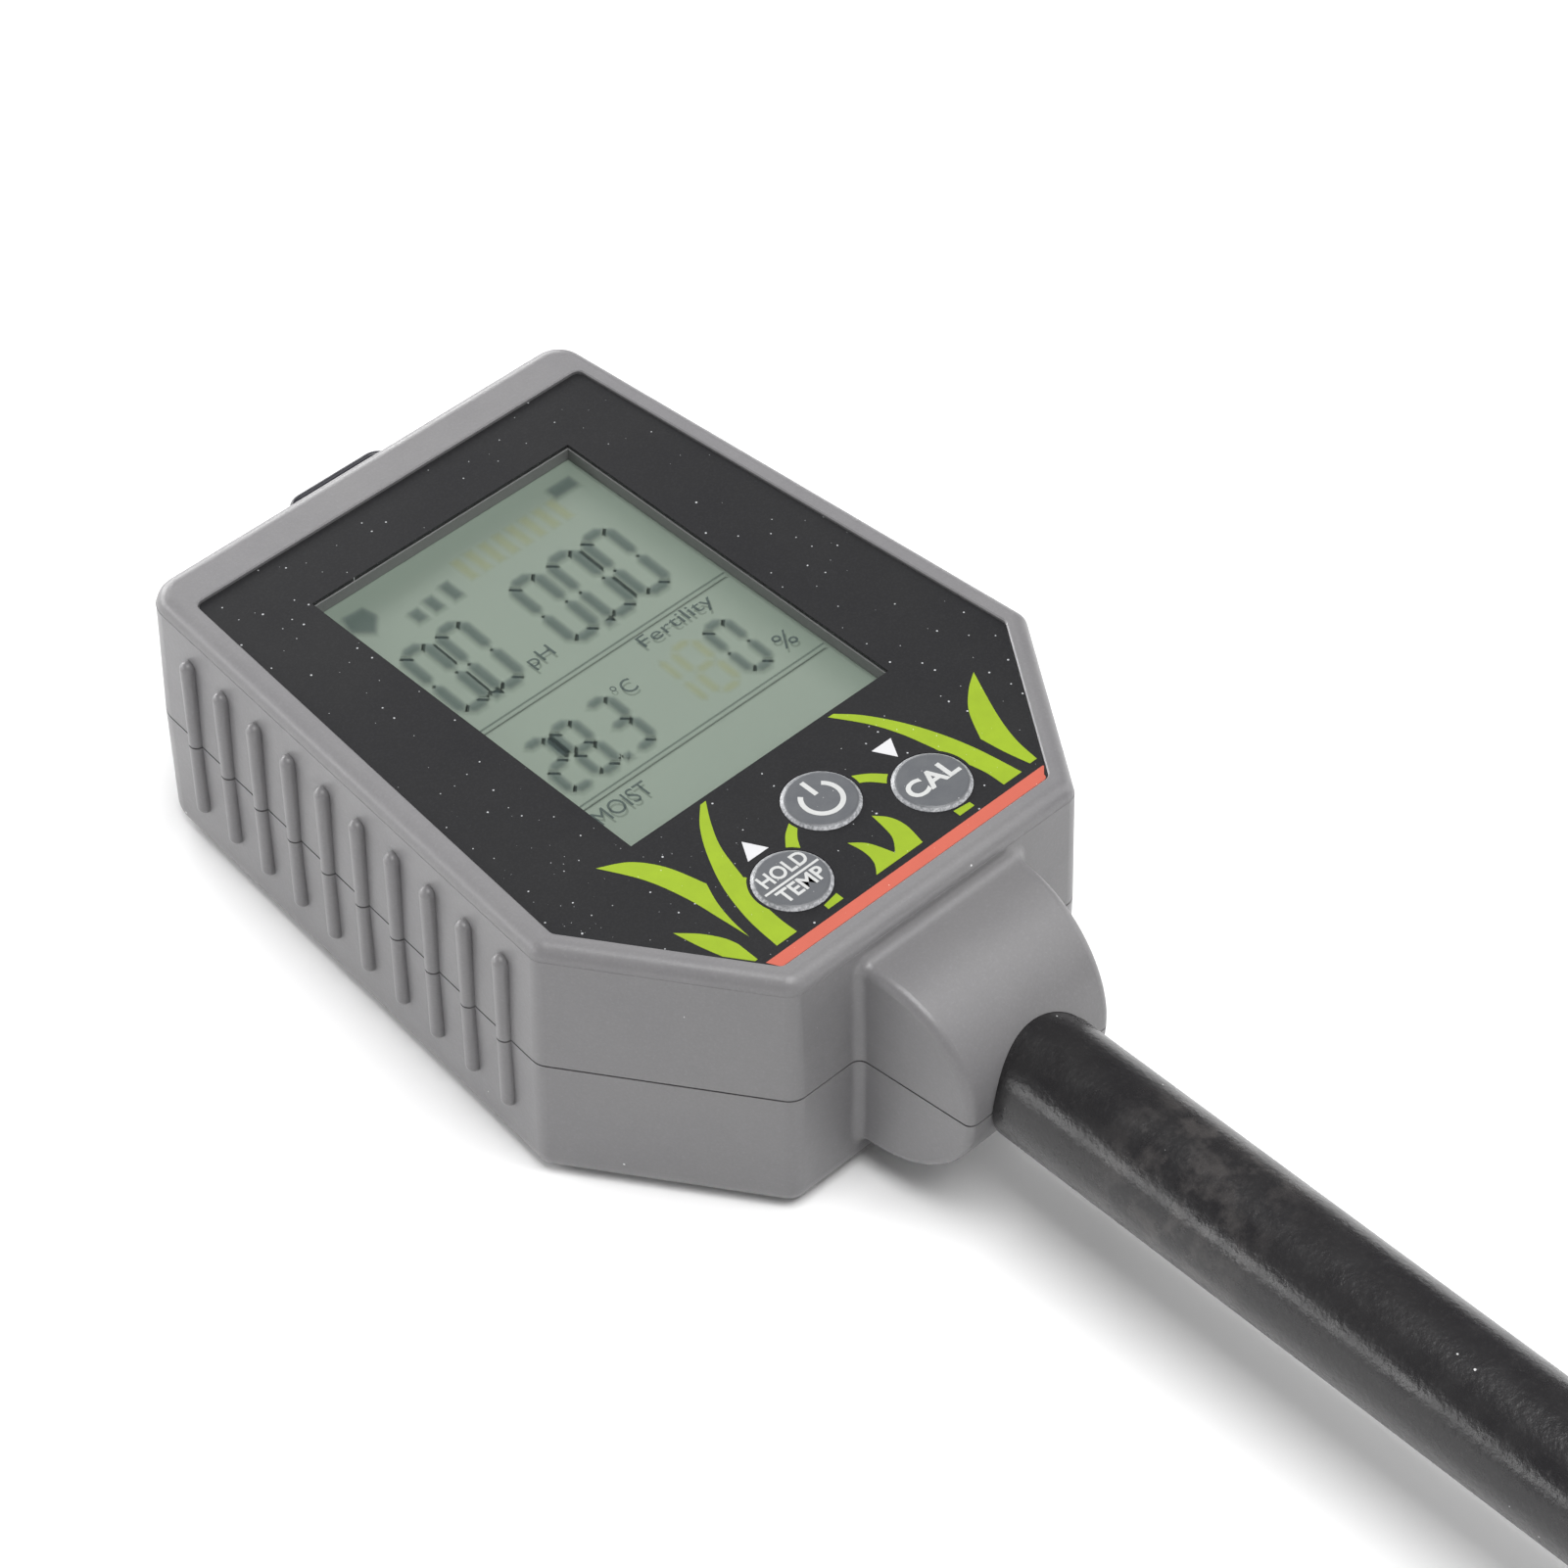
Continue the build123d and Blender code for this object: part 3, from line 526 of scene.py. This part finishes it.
blades = [
    # far left
    leaf([(-25.7, -13.0), (-22.3, -14.95), (-19.9, -18.4), (-18.4, -23.4)],
         [(-18.4, -23.4), (-19.55, -26.4), (-20.25, -29.6), (-20.55, -32.6)],
         [(-20.55, -32.6), (-20.95, -28.6), (-21.55, -23.6), (-23.0, -18.2), (-25.7, -13.0)]),
    # small one at the left edge
    leaf([(-26.25, -26.35), (-24.2, -28.5), (-22.75, -30.8), (-22.2, -32.6)],
         [(-22.2, -32.6), (-22.25, EDGE_Y)],
         [(-22.25, EDGE_Y), (-22.65, EDGE_Y)],
         [(-22.65, EDGE_Y), (-24.75, -32.75)],
         [(-24.75, -32.75), (-25.55, -29.8), (-26.25, -26.35)]),
    # tall left
    leaf([(-9.5, -13.85), (-11.6, -17.0), (-13.4, -20.6), (-14.75, -25.6)],
         [(-14.75, -25.6)] + arc(-11.15, -29.75, 5.15, 131, 196, 14),
         [(-16.1, -31.2), (-16.25, -33.4), (-16.2, EDGE_Y)],
         [(-16.2, EDGE_Y), (-19.3, EDGE_Y)],
         [(-19.3, EDGE_Y), (-18.85, -30.6), (-17.5, -25.2), (-15.3, -20.3), (-12.9, -16.5), (-10.4, -13.9)],
         [(-10.4, -13.9), (-9.5, -13.85)]),
    # short one between the left and the middle key
    leaf(arc(0, -23.0, 5.2, 180.5, 194, 6), [(-5.05, -24.3), (-6.1, -25.4), (-6.95, -26.75)],
         list(reversed(arc(-11.15, -29.75, 5.2, 36, 53, 6))),
         [(-8.1, -25.55), (-6.75, -24.1), (-5.2, -23.05)]),
    # short one between the middle and the right key
    leaf([(5.25, -22.6), (6.9, -23.7), (8.4, -25.25)],
         arc(11.15, -29.75, 5.2, 122, 138, 6),
         [(7.3, -26.3), (6.1, -24.8), (5.05, -24.0)],
         arc(0, -23.0, 5.2, -11, 4, 6)),
    # stubs under the side keys
    [(-11.25, -34.98), (-8.95, -34.6), (-8.95, EDGE_Y), (-11.3, EDGE_Y)],
    [(9.6, -34.7), (11.95, -34.98), (11.95, EDGE_Y), (9.6, EDGE_Y)],
    # low double blade in the middle
    leaf([(-3.75, EDGE_Y), (-2.6, -34.2), (-2.25, -32.2), (-2.6, -29.9)],
         [(-2.6, -29.9), (-0.95, -31.6), (0.2, -34.75)],
         [(0.2, -34.75), (1.75, -32.6), (2.4, -28.75)],
         [(2.4, -28.75), (3.7, -30.4), (4.15, -32.6), (3.6, EDGE_Y)],
         [(3.6, EDGE_Y), (-3.75, EDGE_Y)]),
    # tall right
    leaf([(10.0, -13.85), (10.85, -13.9)],
         [(10.85, -13.9), (13.1, -16.4), (15.4, -20.2), (17.3, -24.6), (18.7, -29.6), (19.7, EDGE_Y)],
         [(19.7, EDGE_Y), (16.75, EDGE_Y)],
         [(16.75, EDGE_Y), (16.7, -33.2), (16.25, -30.9)],
         arc(11.15, -29.75, 5.15, -12, 36, 12),
         [(15.05, -25.4), (14.1, -21.6), (12.55, -17.9), (10.0, -13.85)]),
    # far right
    leaf([(27.5, -20.35), (25.0, -22.0), (22.4, -24.6), (20.15, -28.7)],
         [(20.15, -28.7), (20.6, -32.0), (21.35, -35.45)],
         [(21.35, -35.45), (22.5, -35.45)],
         [(22.5, -35.45), (23.0, -31.6), (24.5, -27.0), (27.5, -20.35)]),
]
green = ink("leaf_green_look", srgb(134, 158, 28), vary=0.06)
to_object("leaf_ornament", slab_mesh("leaf_ornament", blades, FILM_TOP, FILM_TOP + 0.02), green, "housing")

red = ink("stripe_red_look", srgb(182, 90, 74), vary=0.03)
stripe = [(-21.95, -36.75), (22.15, -36.7), (22.25, -36.85)] + arc(20.65, -37.9, 0.55, 5, -90, 6) + [(-20.9, -38.45), (-21.2, -38.2)]
to_object("lower_stripe", slab_mesh("lower_stripe", [stripe], FILM_TOP, FILM_TOP + 0.02), red, "housing")

white_ink = ink("white_print_look", srgb(196, 196, 198), speck=False, vary=0.03)
arrows = [[(-12.68, -24.2), (-9.48, -24.2), (-11.06, -21.42)], [(9.7, -21.35), (12.8, -21.35), (11.26, -24.12)]]
to_object("arrow_marks", slab_mesh("arrow_marks", arrows, FILM_TOP, FILM_TOP + 0.02), white_ink, "housing")


def text_mesh(body, x0, x1, y0, y1, z0, z1, bold=0.0, shear=0.0):
    """lettering in the built-in font, fitted to a rectangle in millimetres"""
    cu = bpy.data.curves.new("lettering", "FONT")
    cu.body = body
    cu.size = 1.0
    cu.offset = bold
    cu.shear = shear
    cu.resolution_u = 4
    cu.extrude = 0.5
    ob = bpy.data.objects.new("lettering", cu)
    scene.collection.objects.link(ob)
    bpy.context.view_layer.update()
    dg = bpy.context.evaluated_depsgraph_get()
    me = bpy.data.meshes.new_from_object(ob.evaluated_get(dg))
    bpy.data.objects.remove(ob)
    bpy.data.curves.remove(cu)
    xs = [v.co.x for v in me.vertices]
    ys = [v.co.y for v in me.vertices]
    sx, sy = (x1 - x0) / (max(xs) - min(xs)), (y1 - y0) / (max(ys) - min(ys))
    mx, my = min(xs), min(ys)
    for v in me.vertices:
        v.co = ((x0 + (v.co.x - mx) * sx) * MM, (y0 + (v.co.y - my) * sy) * MM, (z1 if v.co.z > 0 else z0) * MM)
    me.update()
    return me


def join_meshes(name, meshes):
    bm = bmesh.new()
    for me in meshes:
        bm.from_mesh(me)
        bpy.data.meshes.remove(me)
    out = bpy.data.meshes.new(name)
    bm.to_mesh(out)
    bm.free()
    return out


KZ0, KZ1 = KEY_TOP, KEY_TOP + 0.018
legend_white = ink("legend_white_look", srgb(184, 185, 184), speck=False, vary=0.04)
hold = [
    text_mesh("HOLD", -14.4, -7.58, -29.08, -26.98, KZ0, KZ1, 0.022),
    text_mesh("TEMP", -14.35, -7.7, -32.2, -30.12, KZ0, KZ1, 0.022),
    slab_mesh("line", [[(-15.25, -29.82), (-6.98, -29.82), (-6.98, -29.5), (-15.25, -29.5)]], KZ0, KZ1),
]
to_object("hold_legend", join_meshes("hold_legend", hold), legend_white, "hold_key")
to_object("cal_legend", join_meshes("cal_legend", [text_mesh("CAL", 7.55, 14.85, -30.95, -28.2, KZ0, KZ1, 0.03)]), legend_white, "cal_key")
ring = arc(0.05, -23.05, 2.78, 132, 408, 48) + list(reversed(arc(0.05, -23.05, 2.14, 132, 408, 48)))
bar = [(-0.26, -22.2), (0.36, -22.2), (0.36, -19.65), (-0.26, -19.65)]
to_object("power_legend", slab_mesh("power_legend", [ring, bar], KZ0, KZ1), legend_white, "power_key")


# ---------------------------------------------------------------- what the display shows
def feathered(name, cores, soft, z):
    """flat marks whose 'mask' fades from 1 inside to 0 at the edge; cores are convex outlines in millimetres"""
    verts, faces, mask = [], [], []
    for pts in cores:
        area = sum(a[0] * b[1] - b[0] * a[1] for a, b in zip(pts, pts[1:] + pts[:1]))
        if area < 0:
            pts = list(reversed(pts))
        n = len(pts)
        cx = sum(p[0] for p in pts) / n
        cy = sum(p[1] for p in pts) / n

        def offset(d):
            lines = []
            for i in range(n):
                (ax, ay), (bx, by) = pts[i], pts[(i + 1) % n]
                ln = math.hypot(bx - ax, by - ay)
                ux, uy = (bx - ax) / ln, (by - ay) / ln
                lines.append((ax + uy * d, ay - ux * d, ux, uy))
            out = []
            for i in range(n):
                ax, ay, ux, uy = lines[i - 1]
                bx, by, vx, vy = lines[i]
                det = ux * -vy + vx * uy
                t = ((bx - ax) * -vy + vx * (by - ay)) / det
                out.append((ax + ux * t, ay + uy * t))
            return out

        inner, outer = offset(-soft * 0.45), offset(soft * 0.55)
        base = len(verts)
        verts += [(x * MM, y * MM, z * MM) for x, y in inner] + [(x * MM, y * MM, z * MM) for x, y in outer]
        mask += [1.0] * n + [0.0] * n
        faces.append([base + i for i in range(n)])
        for i in range(n):
            j = (i + 1) % n
            faces.append([base + i, base + n + i, base + n + j, base + j])
    me = bpy.data.meshes.new(name)
    me.from_pydata(verts, [], faces)
    at = me.attributes.new("mask", "FLOAT", "POINT")
    for i, v in enumerate(mask):
        at.data[i].value = v
    me.update()
    return me


SEGS = {"0": "abcdef", "1": "bc", "2": "abged", "3": "abgcd", "8": "abcdefg"}


def digit(ch, x0, y0, w, h, th, slant, gap=0.42):
    """seven-segment digit, leaning to the right"""
    m = h / 2
    half = th / 2
    out = []
    spans = {
        "a": ((0, h), (w, h)), "d": ((0, 0), (w, 0)), "g": ((0, m), (w, m)),
        "f": ((0, m), (0, h)), "e": ((0, 0), (0, m)), "b": ((w, m), (w, h)), "c": ((w, 0), (w, m)),
    }
    for s in SEGS[ch]:
        (ax, ay), (bx, by) = spans[s]
        ln = math.hypot(bx - ax, by - ay)
        ux, uy = (bx - ax) / ln, (by - ay) / ln
        nx, ny = -uy, ux
        a0, a1 = gap, ln - gap
        prof = [(a0, 0), (a0 + half, half), (a1 - half, half), (a1, 0), (a1 - half, -half), (a0 + half, -half)]
        pts = [(ax + ux * t + nx * o, ay + uy * t + ny * o) for t, o in prof]
        out.append([(x0 + x + slant * y, y0 + y) for x, y in pts])
    return out


def moved(cores, dx, dy):
    return [[(x + dx, y + dy) for x, y in pts] for pts in cores]


def rect(x0, x1, y0, y1):
    return [(x0, y0), (x1, y0), (x1, y1), (x0, y1)]


LCD_Z = 35.42
TH = 1.25
marks = []
for x in (-18.1, -12.6):
    marks += digit("0", x, 17.9, 3.55, 12.4, TH, 0.045)
for x in (-0.85, 5.15, 10.75):
    marks += digit("0", x, 17.9, 3.75, 12.4, TH, 0.045)
for x, y in ((-13.45, 17.75), (4.3, 17.55)):
    marks.append(rect(x - 0.45, x + 0.45, y - 0.45, y + 0.45))
for ch, x in (("2", -17.9), ("8", -13.75), ("3", -8.1)):
    marks += digit(ch, x, -0.6, 3.1, 9.2, 1.05, 0.045)
marks.append(rect(-9.75, -9.0, -0.95, -0.2))
marks += digit("0", 10.75, -0.6, 3.15, 9.2, 1.05, 0.045)
marks.append([(-18.9, 37.6), (-16.9, 35.6), (-14.9, 37.8), (-15.3, 39.9), (-18.2, 40.1)])
for x, h in ((-12.0, 2.0), (-9.3, 2.5), (-6.3, 3.1)):
    marks.append(rect(x, x + 1.35, 33.3, 33.3 + h))
marks.append(rect(14.6, 18.2, 38.4, 40.2))

dark_ink = lcd_ink("segment_look", srgb(84, 100, 104), 0.29)
shade_ink = lcd_ink("segment_shadow_look", srgb(104, 116, 108), 0.30)
ghost_ink = lcd_ink("segment_ghost_look", srgb(176, 174, 112), 0.22)
line_ink = lcd_ink("frame_line_look", srgb(88, 100, 96), 0.50)

to_object("display_shadows", feathered("display_shadows", moved(marks, -0.28, -0.42), 0.95, LCD_Z), shade_ink, "housing")
to_object("display_marks", feathered("display_marks", marks, 0.62, LCD_Z + 0.02), dark_ink, "housing")

ghosts = digit("8", 5.4, -0.6, 3.3, 9.2, 0.95, 0.045) + digit("1", 0.2, -0.6, 3.3, 9.2, 0.8, 0.045)
ghosts += [rect(x, x + 1.1, 34.4, 38.4) for x in (-2.6, -0.4, 1.8, 4.0, 6.2, 8.4, 10.6, 12.8)]
to_object("display_ghosts", feathered("display_ghosts", ghosts, 0.7, LCD_Z + 0.01), ghost_ink, "housing")

lines = [rect(-19.9, 19.9, 14.12, 14.36), rect(-19.9, 19.9, -3.06, -2.84)]
to_object("display_lines", feathered("display_lines", lines, 0.2, LCD_Z + 0.03), line_ink, "housing")
to_object("display_line_shadows", feathered("display_line_shadows", moved(lines, -0.2, -0.75), 0.5, LCD_Z + 0.012), lcd_ink("line_shadow_look", srgb(112, 122, 114), 0.25), "housing")


def soft_text(name, items, mat, dx=0.0, dy=0.0, z=LCD_Z + 0.03):
    meshes = [text_mesh(t, x0 + dx, x1 + dx, y0 + dy, y1 + dy, z - 0.004, z, 0.0) for t, x0, x1, y0, y1 in items]
    me = join_meshes(name, meshes)
    at = me.attributes.new("mask", "FLOAT", "POINT")
    for i in range(len(me.vertices)):
        at.data[i].value = 1.0
    return to_object(name, me, mat, "housing")


WORDS = [("pH", -7.5, -3.85, 17.2, 19.95), ("Fertility", 4.3, 15.65, 10.55, 13.2), ("%", 15.8, 18.4, -0.6, 2.1),
         ("°C", -3.6, -0.75, 6.7, 9.2), ("MOIST", -19.2, -11.1, -7.0, -4.6)]
soft_text("display_words", WORDS, lcd_ink("word_look", srgb(92, 104, 104), 0.42))
soft_text("display_word_shadows", WORDS, lcd_ink("word_shadow_look", srgb(108, 120, 110), 0.13), -0.25, -0.65, LCD_Z + 0.016)

# ---------------------------------------------------------------- camera
cam_data = bpy.data.cameras.new("camera")
cam_data.sensor_width = 36.0
cam_data.sensor_fit = "HORIZONTAL"
cam_data.lens = 112.2
cam_data.clip_start = 0.05
cam_data.clip_end = 20
cam = bpy.data.objects.new("camera", cam_data)
scene.collection.objects.link(cam)
RIGHT = Vector((0.7198518, -0.6941145, -0.0043085))
DOWN = Vector((-0.4954398, -0.5094432, -0.7035673))
FWD = Vector((0.4861613, 0.5085988, -0.7106156))
EYE = Vector((-0.273289, -0.302761, 0.435285))
rot = Matrix((RIGHT, -DOWN, -FWD)).transposed().to_4x4()
cam.matrix_world = Matrix.Translation(EYE) @ rot
scene.camera = cam

# ---------------------------------------------------------------- floor and light
bm = bmesh.new()
bmesh.ops.create_grid(bm, x_segments=8, y_segments=8, size=3.0)
me = bpy.data.meshes.new("floor")
bm.to_mesh(me)
bm.free()
floor = bpy.data.objects.new("floor", me)
scene.collection.objects.link(floor)
floor_mat = Mat("floor_look", rough=0.9, spec=0.1)
floor_mat.set("Base Color", floor_mat.ramp(floor_mat.noise(3, 2), [(0.3, (0.94, 0.94, 0.94, 1)), (0.7, (0.96, 0.96, 0.96, 1))]))
me.materials.append(floor_mat.m)

world = bpy.data.worlds.new("world")
scene.world = world
world.use_nodes = True
bg = world.node_tree.nodes["Background"]
bg.inputs[0].default_value = (1.0, 1.0, 1.0, 1)
bg.inputs[1].default_value = 0.12


def area(name, direction, distance, size, level, target=(0, 0, 0.02), color=(1, 1, 1)):
    """a soft panel; level is what it adds to a white surface that faces it"""
    d = bpy.data.lights.new(name, "AREA")
    d.shape = "RECTANGLE"
    d.size, d.size_y = size
    d.energy = level * math.pi * math.pi * distance ** 2
    d.color = color
    o = bpy.data.objects.new(name, d)
    scene.collection.objects.link(o)
    v = Vector(direction).normalized()
    o.location = Vector(target) + v * distance
    o.rotation_euler = (-v).to_track_quat("-Z", "Y").to_euler()
    return o


area("top_panel", (0.0, -0.26, 0.96), 1.6, (1.1, 1.1), 1.16)
area("back_panel", (-0.3, 0.95, 0.25), 1.6, (1.2, 0.4), 0.58)
area("back_right_panel", (0.3, 0.93, 0.3), 1.6, (1.2, 0.5), 0.70)
area("left_strip", (-0.85, 0.5, 0.25), 1.6, (1.2, 0.35), 0.28)
area("right_panel", (0.9, -0.35, 0.3), 1.6, (1.2, 0.5), 0.26)
area("front_panel", (0.5, -0.5, 0.7), 1.6, (1.1, 1.1), 0.20)
